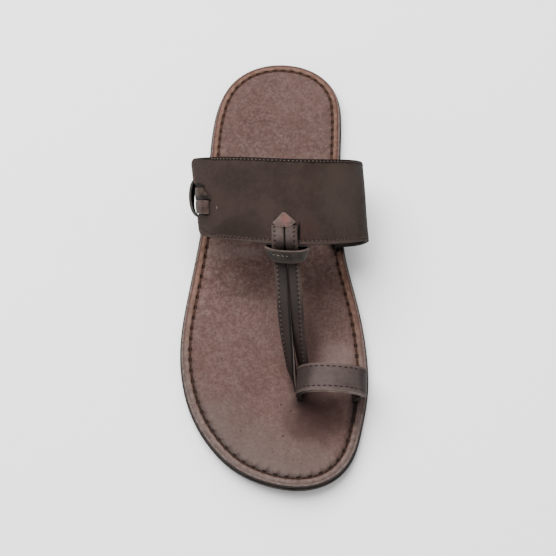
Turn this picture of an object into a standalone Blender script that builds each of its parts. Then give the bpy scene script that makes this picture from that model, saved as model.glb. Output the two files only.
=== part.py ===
# Leather sandal for the right foot: a stitched two-layer sole, an instep band, a split toe strap,
# a toe ring and a split side link, with a small loop of leather round each pair of strips.
# The tables are in millimetres, on a sole that is still flat; the last step bends everything
# together. +X is the inner side of the foot, the toes point along -Y, and Z is up.

import bmesh
import bpy
import numpy as np

MM = 0.001

# Sole
OUTSOLE_THICKNESS = 4.7
INSOLE_THICKNESS = 3.0
SEAT_GAP = 0.3
SOLE_TOP = OUTSOLE_THICKNESS + SEAT_GAP + INSOLE_THICKNESS
OUTLINE_POINTS = 112
INSOLE_EDGE_ROUND = 1.1
INSOLE_INSET = 0.5
OUTSOLE_EDGE_ROUND = 0.8

# Bend of the finished sole: waist lift under the arch and spring under the toes
WAIST_FROM_Y = 12.0
WAIST_TO_Y = 82.0
WAIST_LIFT = 1.4
SPRING_FROM_Y = -74.0
SPRING_TO_Y = -130.0
SPRING_LIFT = 6.0
SPRING_POWER = 1.8
SPRING_STEPS = 8
WAIST_STEPS = 10

# Straps
BAND_THICKNESS = 3.0
BAND_WIDTH = 50.0
BAND_END_WIDTH = 46.0
BAND_CORNER = 4.5
BAND_ROWS = 31
BAND_COLUMNS = 12
STRIP_THICKNESS = 2.6
STRIP_WIDTH = 7.5
STRIP_PITCH = 8.1
STRIP_ROWS = 40
RING_THICKNESS = 3.2
RING_WIDTH = 17.2
RING_ROWS = 25
RING_FOOT = 0.045
KEEPER_THICKNESS = 1.5
KEEPER_STEPS = 40
HEAD_THICKNESS = 3.0
SUNK = 0.4
LEATHER_EDGE = 0.5
SLOT_ROOM = 0.35
SLOT_REACH = 3.0
SLOT_STEPS = 8
FOOT_DEPTH = INSOLE_THICKNESS

# Free end of the band: a shallow dip where the side link pulls it, by place across
SIDE_DIP_DEPTH = 5.4
SIDE_DIP_HALF_WIDTH = 0.24
SIDE_DIP_AT = 0.54
END_BLEND = 26.0

# Outline of the sole, a row for each section: y, outer edge x, inner edge x
SOLE_SECTIONS = (
    (138.0, -26.8, 19.0),
    (126.0, -37.6, 28.9),
    (109.0, -43.0, 32.2),
    (85.0, -44.8, 32.8),
    (50.0, -45.6, 34.2),
    (17.0, -48.4, 38.8),
    (-14.0, -52.1, 47.4),
    (-44.0, -54.1, 53.4),
    (-69.0, -50.9, 54.9),
    (-90.0, -43.2, 52.4),
    (-107.0, -31.8, 48.6),
    (-120.0, -17.4, 40.6),
    (-127.2, -1.0, 29.5),
)
HEEL_TIP = (-4.0, 144.8)
TOE_TIP = (14.0, -129.7)

# Instep band, a row for each section from its slot on the inner side to its free outer end:
# rear edge x, y, z, then front edge x, y, z
BAND_SECTIONS = (
    (29.0, 69.0, SOLE_TOP - FOOT_DEPTH, 33.4, 21.0, SOLE_TOP - FOOT_DEPTH),
    (29.2, 69.0, 9.6, 33.7, 21.0, 9.6),
    (37.6, 67.2, 20.5, 43.4, 19.6, 17.8),
    (45.0, 63.4, 37.0, 50.7, 17.0, 30.0),
    (38.6, 56.4, 54.5, 43.8, 9.6, 44.6),
    (22.0, 49.6, 66.6, 26.0, 2.8, 53.8),
    (1.0, 46.8, 71.0, 3.5, 0.1, 57.2),
    (-20.0, 48.4, 67.6, -17.0, 2.0, 54.2),
    (-39.6, 53.7, 55.6, -34.6, 7.6, 45.0),
    (-53.4, 60.3, 39.6, -45.4, 14.6, 32.2),
)

# Toe ring, from the toe-post slot over the big toe to the inner edge: rear edge, front edge
RING_SECTIONS = (
    (16.5, -57.8, SOLE_TOP - FOOT_DEPTH, 16.5, -75.2, SOLE_TOP - FOOT_DEPTH),
    (16.5, -57.8, 9.6, 16.5, -75.2, 9.6),
    (15.8, -59.6, 19.5, 15.6, -76.8, 20.0),
    (20.6, -61.4, 29.4, 20.2, -78.4, 30.6),
    (33.5, -62.4, 34.4, 33.5, -79.4, 35.9),
    (47.2, -61.4, 29.6, 47.2, -78.2, 30.8),
    (52.7, -59.2, 19.0, 52.7, -76.2, 19.6),
    (48.7, -57.6, 9.8, 48.7, -74.6, 9.8),
    (48.2, -57.4, SOLE_TOP - FOOT_DEPTH, 48.2, -74.4, SOLE_TOP - FOOT_DEPTH),
)

# Free part of each strip, from the band's edge to its slot: x, y, z, turn about its own line
OUTER_TOE_STRIP = (
    (0.5, -3.2, 52.0, 0.0),
    (1.7, -8.2, 47.2, 0.0),
    (4.7, -26.0, 40.0, 8.0),
    (7.6, -42.0, 32.5, 22.0),
    (10.0, -55.5, 22.5, 45.0),
    (12.6, -63.8, 13.6, 70.0),
    (13.9, -66.0, 9.4, 80.0),
    (13.9, -66.0, SOLE_TOP - FOOT_DEPTH, 80.0),
)
INNER_TOE_STRIP = (
    (8.7, -3.2, 52.0, 0.0),
    (9.8, -8.2, 47.2, 0.0),
    (12.9, -26.0, 39.8, 4.0),
    (15.0, -42.0, 31.5, 15.0),
    (16.6, -53.0, 22.3, 34.0),
    (18.5, -59.6, 14.0, 62.0),
    (19.2, -61.6, 9.4, 80.0),
    (19.2, -61.6, SOLE_TOP - FOOT_DEPTH, 80.0),
)
REAR_SIDE_STRIP = (
    (-49.2, 38.2, 38.4, 0.0),
    (-48.9, 40.2, 34.0, 0.0),
    (-47.9, 42.3, 26.6, 0.0),
    (-45.0, 43.4, 16.0, 0.0),
    (-42.2, 43.8, 9.6, 0.0),
    (-42.2, 43.8, SOLE_TOP - FOOT_DEPTH, 0.0),
)
FRONT_SIDE_STRIP = (
    (-48.3, 30.6, 37.2, 0.0),
    (-47.7, 32.8, 33.4, 0.0),
    (-46.9, 34.7, 26.6, 0.0),
    (-45.0, 35.3, 16.0, 0.0),
    (-42.2, 35.7, 9.6, 0.0),
    (-42.2, 35.7, SOLE_TOP - FOOT_DEPTH, 0.0),
)

# The same strips where they lie on the band, from their inner end to the band's edge: place
# along the band and across it
TOE_STRIPS_ON_BAND = ((0.6067, 0.785), (0.6067, 0.88), (0.6055, 0.985))
SIDE_STRIPS_ON_BAND = ((0.894, 0.5425), (0.925, 0.5425), (0.952, 0.5425))

# How much further one corner of the rear side strip's inner end runs than the other
SLANT = 6.6

# Pointed head over the inner ends of the toe strips: its place on the band, then its outline,
# to the side of its centre line and up it
HEAD_BASE = (0.6067, 0.805)
HEAD_TIP = (0.6086, 0.631)
HEAD_PLAN = ((-3.5, 0.0), (3.5, 0.0), (6.4, 2.6), (0.7, 8.2), (-0.7, 8.2), (-6.4, 2.6))

# Loops round the strips, upper and lower edge: centre x, y, z, half width, then how far the
# front wall and the back wall stand from the centre in x, y and z, and the squareness of the
# front and of the back (2 is an ellipse)
FRONT_KEEPER_SECTIONS = (
    (5.1, 1.2, 53.5, 12.8, 0.0, -6.2, 5.2, 0.0, -1.8, -3.1, 2.3, 2.8),
    (5.7, -2.8, 49.5, 10.9, 0.0, -6.1, 2.6, 0.0, -1.8, -3.4, 2.7, 2.8),
)
SIDE_KEEPER_SECTIONS = (
    (-49.2, 37.9, 34.2, 11.3, -4.4, 2.2, 1.6, 5.0, 0.0, -1.0, 2.1, 3.6),
    (-47.9, 39.2, 26.8, 10.0, -2.6, 1.4, 0.6, 4.6, 0.0, -0.6, 2.6, 3.6),
)


def spline(rows, places, closed=False, measured=3):
    """A smooth curve through the rows, read at the places (0 to 1 by length)."""
    rows = np.array(rows, float)
    if closed:
        rows = np.vstack([rows, rows[:1]])
    spans = np.linalg.norm(np.diff(rows[:, :measured], axis=0), axis=1)
    knots = np.concatenate([[0.0], np.cumsum(spans)])
    count = len(knots)
    system = np.zeros((count, count))
    right = np.zeros((count, rows.shape[1]))
    slopes = np.diff(rows, axis=0) / spans[:, None]
    for i in range(1, count - 1):
        system[i, i - 1:i + 2] = spans[i - 1], 2 * (spans[i - 1] + spans[i]), spans[i]
        right[i] = 6 * (slopes[i] - slopes[i - 1])
    if closed:
        system[0, [0, 1, -2]] = 2 * (spans[-1] + spans[0]), spans[0], spans[-1]
        right[0] = 6 * (slopes[0] - slopes[-1])
        system[-1, [0, -1]] = 1, -1
    else:
        system[0, 0] = 1
        system[-1, -1] = 1
    bends = np.linalg.solve(system, right)

    def read(at):
        i = np.clip(np.searchsorted(knots, at, side="right") - 1, 0, count - 2)
        h = spans[i][:, None]
        a = (knots[i + 1] - at)[:, None]
        b = (at - knots[i])[:, None]
        return (bends[i] * a**3 + bends[i + 1] * b**3) / (6 * h) + (
            rows[i] / h - bends[i] * h / 6) * a + (rows[i + 1] / h - bends[i + 1] * h / 6) * b

    fine = np.linspace(0, knots[-1], 40 * count)
    walked = np.linalg.norm(np.diff(read(fine)[:, :measured], axis=0), axis=1)
    lengths = np.concatenate([[0.0], np.cumsum(walked)])
    return read(np.interp(np.asarray(places) * lengths[-1], lengths, fine))


def unit(vectors):
    return vectors / np.linalg.norm(vectors, axis=-1, keepdims=True)


def bend_stations():
    """Where the sole bends: it is straight between these places along Y."""
    spring = np.linspace(SPRING_TO_Y, SPRING_FROM_Y, SPRING_STEPS + 1)
    waist = np.linspace(WAIST_FROM_Y, WAIST_TO_Y, WAIST_STEPS + 1)
    return np.concatenate([spring, waist])


def sole_lift(y):
    """Height that the bend of the sole gives to a point at y."""
    stations = bend_stations()
    spring = np.clip((SPRING_FROM_Y - stations) / (SPRING_FROM_Y - SPRING_TO_Y), 0, 1)
    waist = np.clip((stations - WAIST_FROM_Y) / (WAIST_TO_Y - WAIST_FROM_Y), 0, 1)
    heights = SPRING_LIFT * spring**SPRING_POWER + WAIST_LIFT * np.sin(np.pi * waist) ** 2
    return np.interp(y, stations, heights)


def material(name, colour, roughness):
    made = bpy.data.materials.new(name)
    made.use_nodes = True
    shader = made.node_tree.nodes["Principled BSDF"]
    shader.inputs["Base Color"].default_value = (*colour, 1.0)
    shader.inputs["Roughness"].default_value = roughness
    shader.inputs["Metallic"].default_value = 0.0
    return made


def mesh_object(name, points, faces, finish=None, stations=()):
    """An object from millimetre points on the flat sole, cut along the stations, bent with the
    sole and turned into metres."""
    mesh = bpy.data.meshes.new(name)
    mesh.from_pydata((np.array(points, float) * MM).tolist(), [], faces)
    work = bmesh.new()
    work.from_mesh(mesh)
    for station in stations:
        bmesh.ops.bisect_plane(work, geom=work.verts[:] + work.edges[:] + work.faces[:],
                               plane_co=(0, station * MM, 0), plane_no=(0, 1, 0), dist=1e-6)
    for vert in work.verts:
        vert.co.z += sole_lift(vert.co.y / MM) * MM
    bmesh.ops.recalc_face_normals(work, faces=work.faces)
    work.to_mesh(mesh)
    work.free()
    if finish:
        mesh.materials.append(finish)
    made = bpy.data.objects.new(name, mesh)
    bpy.context.collection.objects.link(made)
    return made


def as_guide(shape):
    shape.hide_render = True
    shape.display_type = "WIRE"
    return shape


def boolean(target, tool, operation):
    step = target.modifiers.new(tool.name, "BOOLEAN")
    step.object = as_guide(tool)
    step.operation = operation
    step.solver = "EXACT"
    step.use_self = True


def shade(made, degrees=35.0):
    made.data.shade_smooth()
    made.data.set_sharp_from_angle(angle=np.radians(degrees))


# Straps are sheets: a grid of points on the middle of the leather, made as thick as it is

def sheet_normals(grid, loop=False):
    if loop:
        along = np.roll(grid, -1, axis=0) - np.roll(grid, 1, axis=0)
    else:
        along = np.gradient(grid, axis=0)
    return unit(np.cross(along, np.gradient(grid, axis=1)))


def leather_sheet(name, grid, thickness, finish=None, loop=False):
    """A closed strap whose two long edges are chamfered; the grid runs along it, then across."""
    rows, columns = grid.shape[:2]
    normals = sheet_normals(grid, loop)
    half = np.full(columns, thickness / 2)
    half[[0, -1]] -= LEATHER_EDGE
    upper = grid + normals * half[None, :, None]
    lower = grid - normals * half[None, :, None]
    ring = np.concatenate([upper, lower[:, ::-1]], axis=1)
    size = 2 * columns
    faces = []
    for i in range(rows if loop else rows - 1):
        here, after = i * size, (i + 1) % rows * size
        for j in range(size):
            k = (j + 1) % size
            faces.append((here + j, here + k, after + k, after + j))
    if not loop:
        last = (rows - 1) * size
        for j in range(columns - 1):
            other = size - 1 - j
            faces.append((j, other, other - 1, j + 1))
            faces.append((last + j, last + j + 1, last + other - 1, last + other))
    return mesh_object(name, ring.reshape(-1, 3), faces, finish)


def across_places(width, cells):
    """Places from 0 to 1 across a strap, with a narrow chamfer cell at each edge."""
    edge = LEATHER_EDGE / width
    return np.concatenate([[0.0], np.linspace(edge, 1 - edge, cells + 1), [1.0]])


def band_point(along, across):
    """A point on the middle of the band: along 0 to 1 from the slot, across 0 rear to 1 front."""
    edges = spline(BAND_SECTIONS, np.ravel(along), measured=6)
    across = np.ravel(across)[:, None]
    return edges[:, :3] * (1 - across) + edges[:, 3:] * across


def over_band(along, across, height):
    """A point over the band's outer face, at a height above the middle of its leather."""
    step = 0.004
    here = band_point(along, across)[0]
    length = band_point(along + step, across)[0] - band_point(along - step, across)[0]
    width = band_point(along, across + step)[0] - band_point(along, across - step)[0]
    out = unit(np.cross(length, width))
    return here + out * height * (1 if out[2] > 0 else -1)


def band_length():
    edges = band_point(np.linspace(0, 1, 60), np.full(60, 0.5))
    return np.linalg.norm(np.diff(edges, axis=0), axis=1).sum()


def end_inset(across, width):
    """How far the free end is cut back: round corners, and a dip where the side link pulls it."""
    near = np.minimum(across, 1 - across) * width
    short = np.clip(BAND_CORNER - near, 0, BAND_CORNER)
    corner = BAND_CORNER - np.sqrt(BAND_CORNER**2 - short**2)
    inside = np.clip(np.abs(across - SIDE_DIP_AT) / SIDE_DIP_HALF_WIDTH, 0, 1)
    return np.maximum(corner, SIDE_DIP_DEPTH * (1 - inside**4) ** 2)


def build_band(finish):
    length = band_length()
    corner = BAND_CORNER / 2 / BAND_WIDTH
    across = np.sort(np.concatenate([
        across_places(BAND_WIDTH, BAND_COLUMNS), [corner, 1 - corner]]))
    along = np.concatenate([[0.0], np.linspace(FOOT_DEPTH / length, 1, BAND_ROWS)])
    grid = np.zeros((len(along), len(across), 3))
    for j, v in enumerate(across):
        pulled = np.clip((along * length - (length - END_BLEND)) / END_BLEND, 0, 1)
        places = along - pulled * end_inset(v, BAND_WIDTH) / length
        grid[:, j] = band_point(places, np.full(len(along), v))
    return leather_sheet("upper", grid, BAND_THICKNESS, finish)


def build_ring():
    places = np.concatenate([[0.0], np.linspace(RING_FOOT, 1 - RING_FOOT, RING_ROWS), [1.0]])
    edges = spline(RING_SECTIONS, places, measured=6)
    across = across_places(RING_WIDTH, 2)[None, :, None]
    grid = edges[:, None, :3] * (1 - across) + edges[:, None, 3:] * across
    return leather_sheet("toe_ring", grid, RING_THICKNESS)


def strip_grid(rows, sideways, on_band=(), spread=(0.0, 0.0), slant=0.0):
    """A narrow strap along centre rows of x, y, z and turn; sideways is its width at no turn.
    Its first rows can lie on the band, at places that spread over its width."""
    height = (BAND_THICKNESS + STRIP_THICKNESS) / 2 - SUNK
    centre = np.array([row[:3] for row in rows], float)
    turn = np.radians([[row[3]] for row in rows])
    direction = unit(np.gradient(centre, axis=0))
    first = unit(sideways - direction * (direction @ sideways)[:, None])
    side = first * np.cos(turn) + np.cross(direction, first) * np.sin(turn)
    columns = []
    for place in across_places(STRIP_WIDTH, 1) - 0.5:
        points = []
        for i, (along, across) in enumerate(on_band):
            cut = slant * place * (1 - i / len(on_band))
            points.append(over_band(along + spread[0] * place + cut,
                                    across + spread[1] * place, height))
        points += list(centre + side * place * STRIP_WIDTH)
        columns.append(spline(points, np.linspace(0, 1, STRIP_ROWS)))
    return np.stack(columns, axis=1)


def build_head(name):
    """The pointed end of the split strap, lying on the band over its two strips."""
    height = (BAND_THICKNESS + HEAD_THICKNESS) / 2 - SUNK
    tip = over_band(*HEAD_TIP, height)
    foot = over_band(*HEAD_BASE, height)
    out = unit(foot - band_point(*HEAD_BASE)[0])
    forward = unit(tip - foot)
    side = unit(np.cross(forward, out))
    points = [foot + side * u + forward * v + out * w * HEAD_THICKNESS / 2
              for w in (-1, 1) for u, v in HEAD_PLAN]
    count = len(HEAD_PLAN)
    faces = [tuple(range(count))[::-1], tuple(range(count, 2 * count))]
    faces += [(i, (i + 1) % count, (i + 1) % count + count, i + count) for i in range(count)]
    return mesh_object(name, points, faces)


def build_keeper(name, sections, sideways, finish):
    """A loop round two strips: a flattened ring at its upper and its lower edge, joined."""
    angles = np.linspace(0, 2 * np.pi, KEEPER_STEPS, endpoint=False)
    c, s = np.cos(angles), np.sin(angles)
    edges = []
    for row in sections:
        centre, front, back = np.array(row[0:3]), np.array(row[4:7]), np.array(row[7:10])
        ahead = s[:, None] > 0
        flat = np.where(ahead, 2 / row[10], 2 / row[11])
        wide = row[3] * np.sign(c)[:, None] * np.abs(c)[:, None] ** flat
        deep = np.where(ahead, front, back) * np.abs(s)[:, None] ** flat
        edges.append(centre + wide * sideways + deep)
    width = np.linalg.norm(edges[0] - edges[1], axis=1).mean()
    places = across_places(width, 1)[None, :, None]
    grid = edges[0][:, None] * (1 - places) + edges[1][:, None] * places
    return leather_sheet(name, grid, KEEPER_THICKNESS, finish, loop=True)


# Sole layers

def outline(inset=0.0):
    inner = [(x, y) for y, _, x in SOLE_SECTIONS]
    outer = [(x, y) for y, x, _ in SOLE_SECTIONS[::-1]]
    rows = [HEEL_TIP] + inner + [TOE_TIP] + outer
    places = np.linspace(0, 1, OUTLINE_POINTS, endpoint=False)
    points = spline(rows, places, closed=True, measured=2)
    run = np.roll(points, -1, axis=0) - np.roll(points, 1, axis=0)
    inward = unit(np.stack([run[:, 1], -run[:, 0]], axis=1))
    return points + inward * inset


def build_sole_layer(name, rings, finish):
    """A plate with the sole's outline, from rings of inset and height."""
    loops = [np.column_stack([outline(inset), np.full(OUTLINE_POINTS, z)]) for inset, z in rings]
    points = np.concatenate(loops)
    bottom = tuple(range(OUTLINE_POINTS))
    top = tuple(range(len(points) - OUTLINE_POINTS, len(points)))
    faces = [bottom, top]
    for k in range(len(rings) - 1):
        low = k * OUTLINE_POINTS
        high = low + OUTLINE_POINTS
        for i in range(OUTLINE_POINTS):
            j = (i + 1) % OUTLINE_POINTS
            faces.append((low + j, low + i, high + i, high + j))
    return mesh_object(name, points, faces, finish, bend_stations()[1:])


def slot_cutter(name, ends, thickness):
    """A block through the insole round the foot of a strap that runs between two points."""
    start, stop = np.array(ends[0], float), np.array(ends[1], float)
    run = unit(stop - start)
    start, stop = start - run * SLOT_ROOM, stop + run * SLOT_ROOM
    out = np.array([-run[1], run[0]]) * (thickness / 2 + SLOT_ROOM)
    middle = SOLE_TOP - FOOT_DEPTH / 2
    points = []
    for i in range(SLOT_STEPS + 1):
        here = start + (stop - start) * i / SLOT_STEPS
        for side, z in ((-1, -1), (1, -1), (1, 1), (-1, 1)):
            points.append((*(here + out * side), middle + SLOT_REACH * z))
    last = 4 * SLOT_STEPS
    faces = [(0, 1, 2, 3), (last + 3, last + 2, last + 1, last)]
    for i in range(SLOT_STEPS):
        for j in range(4):
            k = (j + 1) % 4
            faces.append((4 * i + k, 4 * i + j, 4 * i + 4 + j, 4 * i + 4 + k))
    return mesh_object(name, points, faces)


def strip_foot(rows, sideways):
    """The two ends, in plan, of a strip's foot in its slot."""
    foot = strip_grid(rows, sideways)[-1]
    return foot[0][:2], foot[-1][:2]


def main():
    for old in list(bpy.data.objects):
        bpy.data.objects.remove(old, do_unlink=True)

    footbed = material("footbed_leather", (0.27, 0.19, 0.155), 0.62)
    dark = material("outsole_leather", (0.05, 0.045, 0.042), 0.7)
    strap = material("strap_leather", (0.085, 0.066, 0.058), 0.5)
    loop = material("loop_leather", (0.095, 0.075, 0.066), 0.5)

    low = OUTSOLE_THICKNESS + SEAT_GAP
    build_sole_layer("outsole", (
        (OUTSOLE_EDGE_ROUND, 0.0), (0.0, OUTSOLE_EDGE_ROUND),
        (0.0, OUTSOLE_THICKNESS)), dark)
    insole = build_sole_layer("insole", (
        (INSOLE_INSET, low), (0.0, low + INSOLE_THICKNESS / 2),
        (INSOLE_INSET, SOLE_TOP - INSOLE_EDGE_ROUND / 2),
        (INSOLE_INSET + INSOLE_EDGE_ROUND, SOLE_TOP)), footbed)

    across_foot = np.array([1.0, 0.0, 0.0])
    along_foot = np.array([0.0, 1.0, 0.0])
    upper = build_band(strap)
    parts = [build_ring()]
    length = band_length()
    shift = STRIP_PITCH / 2 / length
    spread = (-STRIP_WIDTH / length, 0.0)
    for name, free, side in (("outer_toe_strip", OUTER_TOE_STRIP, 1),
                             ("inner_toe_strip", INNER_TOE_STRIP, -1)):
        lying = [(along + side * shift, across) for along, across in TOE_STRIPS_ON_BAND]
        grid = strip_grid(free, across_foot, lying, spread)
        parts.append(leather_sheet(name, grid, STRIP_THICKNESS))
    shift = STRIP_PITCH / 2 / BAND_END_WIDTH
    spread = (0.0, -STRIP_WIDTH / BAND_END_WIDTH)
    for name, free, side, slant in (("rear_side_strip", REAR_SIDE_STRIP, -1, SLANT / length),
                                    ("front_side_strip", FRONT_SIDE_STRIP, 1, 0.0)):
        lying = [(along, across + side * shift) for along, across in SIDE_STRIPS_ON_BAND]
        grid = strip_grid(free, along_foot, lying, spread, slant)
        parts.append(leather_sheet(name, grid, STRIP_THICKNESS))
    parts.append(build_head("front_head"))
    for part in parts:
        boolean(upper, part, "UNION")

    build_keeper("front_keeper", FRONT_KEEPER_SECTIONS, across_foot, loop)
    build_keeper("side_keeper", SIDE_KEEPER_SECTIONS, along_foot, loop)

    feet = (
        ("band_slot", (BAND_SECTIONS[0][0:2], BAND_SECTIONS[0][3:5]), BAND_THICKNESS),
        ("ring_outer_slot", (RING_SECTIONS[0][0:2], RING_SECTIONS[0][3:5]), RING_THICKNESS),
        ("ring_inner_slot", (RING_SECTIONS[-1][0:2], RING_SECTIONS[-1][3:5]), RING_THICKNESS),
        ("outer_toe_slot", strip_foot(OUTER_TOE_STRIP, across_foot), STRIP_THICKNESS),
        ("inner_toe_slot", strip_foot(INNER_TOE_STRIP, across_foot), STRIP_THICKNESS),
        ("rear_side_slot", strip_foot(REAR_SIDE_STRIP, along_foot), STRIP_THICKNESS),
        ("front_side_slot", strip_foot(FRONT_SIDE_STRIP, along_foot), STRIP_THICKNESS),
    )
    for name, ends, thickness in feet:
        boolean(insole, slot_cutter(name, ends, thickness), "DIFFERENCE")
    for made in bpy.data.objects:
        if made.type == "MESH":
            shade(made)


main()
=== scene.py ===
import bpy
import numpy as np
from mathutils import Matrix, Vector


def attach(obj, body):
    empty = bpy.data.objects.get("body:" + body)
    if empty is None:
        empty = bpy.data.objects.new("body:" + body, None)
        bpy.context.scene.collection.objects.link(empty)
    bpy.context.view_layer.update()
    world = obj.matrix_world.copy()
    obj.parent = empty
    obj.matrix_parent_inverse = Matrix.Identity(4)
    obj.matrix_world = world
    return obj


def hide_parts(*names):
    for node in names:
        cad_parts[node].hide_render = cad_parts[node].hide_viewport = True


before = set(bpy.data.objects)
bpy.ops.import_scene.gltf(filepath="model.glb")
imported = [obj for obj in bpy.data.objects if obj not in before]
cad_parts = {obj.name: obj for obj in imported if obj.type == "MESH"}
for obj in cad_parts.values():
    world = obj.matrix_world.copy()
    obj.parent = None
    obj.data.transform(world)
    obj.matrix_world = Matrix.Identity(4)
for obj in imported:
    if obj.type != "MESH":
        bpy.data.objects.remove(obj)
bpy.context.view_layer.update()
rng = np.random.default_rng(7)
mm = 0.001
layerGap = 0.08  # between the two leathers of a strap
pressedIn = 0.4  # how far a strip or the pointed head sits in the band
soleBend = dict(springFrom=-74, springLength=56, springHeight=6, waistFrom=12, waistLength=70, waistHeight=1.4)


def distances(points, axis=0):  # length walked along rows of points
    moves = np.diff(points, axis=axis, prepend=points.take([0], axis))
    return np.cumsum(np.linalg.norm(moves, axis=-1), axis=axis)


def smoothLine(rows, places, closed=False, measured=3):  # curve through the rows, read at 0..1
    rows = np.array(rows, float)
    if closed:
        rows = np.vstack([rows, rows[:1]])
    knots = distances(rows[:, :measured])
    spans = np.diff(knots)
    count = len(knots)
    system = np.zeros((count, count))
    right = np.zeros((count, rows.shape[1]))
    slopes = np.diff(rows, axis=0) / spans[:, None]
    for i in range(1, count - 1):
        system[i, i - 1:i + 2] = spans[i - 1], 2 * (spans[i - 1] + spans[i]), spans[i]
        right[i] = 6 * (slopes[i] - slopes[i - 1])
    if closed:
        system[0, [0, 1, -2]] = 2 * (spans[-1] + spans[0]), spans[0], spans[-1]
        right[0] = 6 * (slopes[0] - slopes[-1])
        system[-1, [0, -1]] = 1, -1
    else:
        system[0, 0] = 1
        system[-1, -1] = 1
    bends = np.linalg.solve(system, right)

    def read(at):
        i = np.clip(np.searchsorted(knots, at, side="right") - 1, 0, count - 2)
        h = spans[i][:, None]
        a = (knots[i + 1] - at)[:, None]
        b = (at - knots[i])[:, None]
        return (bends[i] * a**3 + bends[i + 1] * b**3) / (6 * h) + (
            rows[i] / h - bends[i] * h / 6) * a + (rows[i + 1] / h - bends[i + 1] * h / 6) * b

    fine = np.linspace(0, knots[-1], 40 * count)
    lengths = distances(read(fine)[:, :measured])
    return read(np.interp(np.asarray(places) * lengths[-1], lengths, fine))


def readAt(places, reach, rows):  # x, y and z read between the rows
    return np.stack([np.interp(places, reach, rows[:, k]) for k in range(3)], axis=-1)


def unit(vectors):
    return vectors / np.maximum(np.linalg.norm(vectors, axis=-1, keepdims=True), 1e-9)


def soleLift(y):  # waist lift and toe spring of the finished sole
    spring = np.clip((soleBend["springFrom"] - y) / soleBend["springLength"], 0, 1)
    waist = np.clip((y - soleBend["waistFrom"]) / soleBend["waistLength"], 0, 1)
    return soleBend["springHeight"] * spring**1.8 + soleBend["waistHeight"] * np.sin(np.pi * waist) ** 2


def bump(value, centre, width):
    return np.exp(-((value - centre) / width) ** 2)


def steps(value, low, high):  # smooth 0 to 1 between two values
    t = np.clip((value - low) / (high - low), 0, 1)
    return t * t * (3 - 2 * t)


def evenPlaces(count, tight=0.5):  # 0 to 1, a little closer together at both ends
    t = np.linspace(0, 1, count)
    return t - tight * np.sin(2 * np.pi * t) / (2 * np.pi)


def selectOnly(*pieces):
    bpy.ops.object.select_all(action="DESELECT")
    for piece in pieces:
        piece.select_set(True)
    bpy.context.view_layer.objects.active = pieces[0]


def modify(piece, kind, **values):
    selectOnly(piece)
    made = piece.modifiers.new(kind.lower(), kind)
    for key, value in values.items():
        setattr(made, key, value)
    bpy.ops.object.modifier_apply(modifier=made.name)


def weld(piece, distance=0.00001):
    selectOnly(piece)
    bpy.ops.object.mode_set(mode="EDIT")
    bpy.ops.mesh.select_all(action="SELECT")
    bpy.ops.mesh.remove_doubles(threshold=distance)
    bpy.ops.mesh.normals_make_consistent(inside=False)
    bpy.ops.object.mode_set(mode="OBJECT")


def smooth(piece, degrees=38):
    selectOnly(piece)
    bpy.ops.object.shade_smooth_by_angle(angle=np.radians(degrees))


def joined(name, pieces):
    selectOnly(*pieces)
    if len(pieces) > 1:
        bpy.ops.object.join()
    made = bpy.context.object
    made.name = made.data.name = name
    return made


def belongs(piece, node):
    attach(piece, "root")
    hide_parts(node)
    print("made", piece.name, len(piece.data.polygons), "faces")


def laidGrid(name, points, leathers, notes=None):  # a grid primitive laid on rows x columns of points
    rows, columns = points.shape[:2]
    bpy.ops.mesh.primitive_grid_add(x_subdivisions=columns - 1, y_subdivisions=rows - 1, size=1)
    piece = bpy.context.object
    piece.name = piece.data.name = name
    flat = points.reshape(-1, 3).copy()
    flat[:, 2] += soleLift(flat[:, 1])
    piece.data.vertices.foreach_set("co", (flat * mm).astype(np.float32).ravel())
    for key, values in (notes or {}).items():
        kept = piece.data.attributes.new(key, "FLOAT", "POINT")
        kept.data.foreach_set("value", np.asarray(values, np.float32).ravel())
    piece.data.update()
    for leather in leathers:
        piece.data.materials.append(leather)
    return piece


def sheetNormals(grid, outward, loop=False):
    if loop:
        along = np.roll(grid, -1, axis=0) - np.roll(grid, 1, axis=0)
        along[0] = along[-1] = grid[1] - grid[-2]
    else:
        along = np.gradient(grid, axis=0)
    normals = unit(np.cross(along, np.gradient(grid, axis=1)))
    return -normals if (normals * outward).sum() < 0 else normals


def sheetNotes(grid, loop=False):  # mm along, across and from the nearest edge, kept on the mesh
    along, across = distances(grid), distances(grid, 1)
    edge = np.minimum(across, across[:, -1:] - across)
    if not loop:
        edge = np.minimum(edge, along[-1:] - along)
    return {"edgeMm": edge, "alongMm": along, "acrossMm": across}


def swells(piece, along, across):  # the piece's soft hollows and swells, from its table of waves
    lift = np.zeros((len(along), len(across)))
    for u, v, sizeAlong, sizeAcross, height in piece["waves"]:
        lift += height * np.outer(bump(along * piece["length"], u * piece["length"], sizeAlong),
                                  bump(across * piece["width"], v * piece["width"], sizeAcross))
    return lift


def thickened(sheet, thickness, rounding, **values):  # a sheet gets its wall and rounded edges
    modify(sheet, "SOLIDIFY", thickness=thickness * mm, offset=0, material_offset_rim=1, **values)
    modify(sheet, "BEVEL", width=rounding * mm, segments=2, limit_method="ANGLE",
           angle_limit=np.radians(50), material=-1)
    weld(sheet, 0.000002)


def strapPiece(name, grid, outward, strap):  # doubled leather round a middle sheet
    normals = sheetNormals(grid, outward)
    notes = sheetNotes(grid)
    top, split = strap["thickness"] / 2, strap["split"]
    layers = []
    for label, low, high, *leathers in (
            ("Face", split, top, strap["leather"], strap["edge"]),
            ("Lining", -strap.get("below", top), split - layerGap, strap["lining"],
             strap.get("liningEdge", strap["edge"]))):
        layer = laidGrid(name + label, grid + normals * (low + high) / 2, leathers, notes)
        thickened(layer, high - low, strap["round"], use_even_offset=True)
        layers.append(layer)
    piece = joined(name, layers)
    smooth(piece)
    belongs(piece, "upper")
    return dict(notes, grid=grid, normals=normals, top=top)


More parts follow.
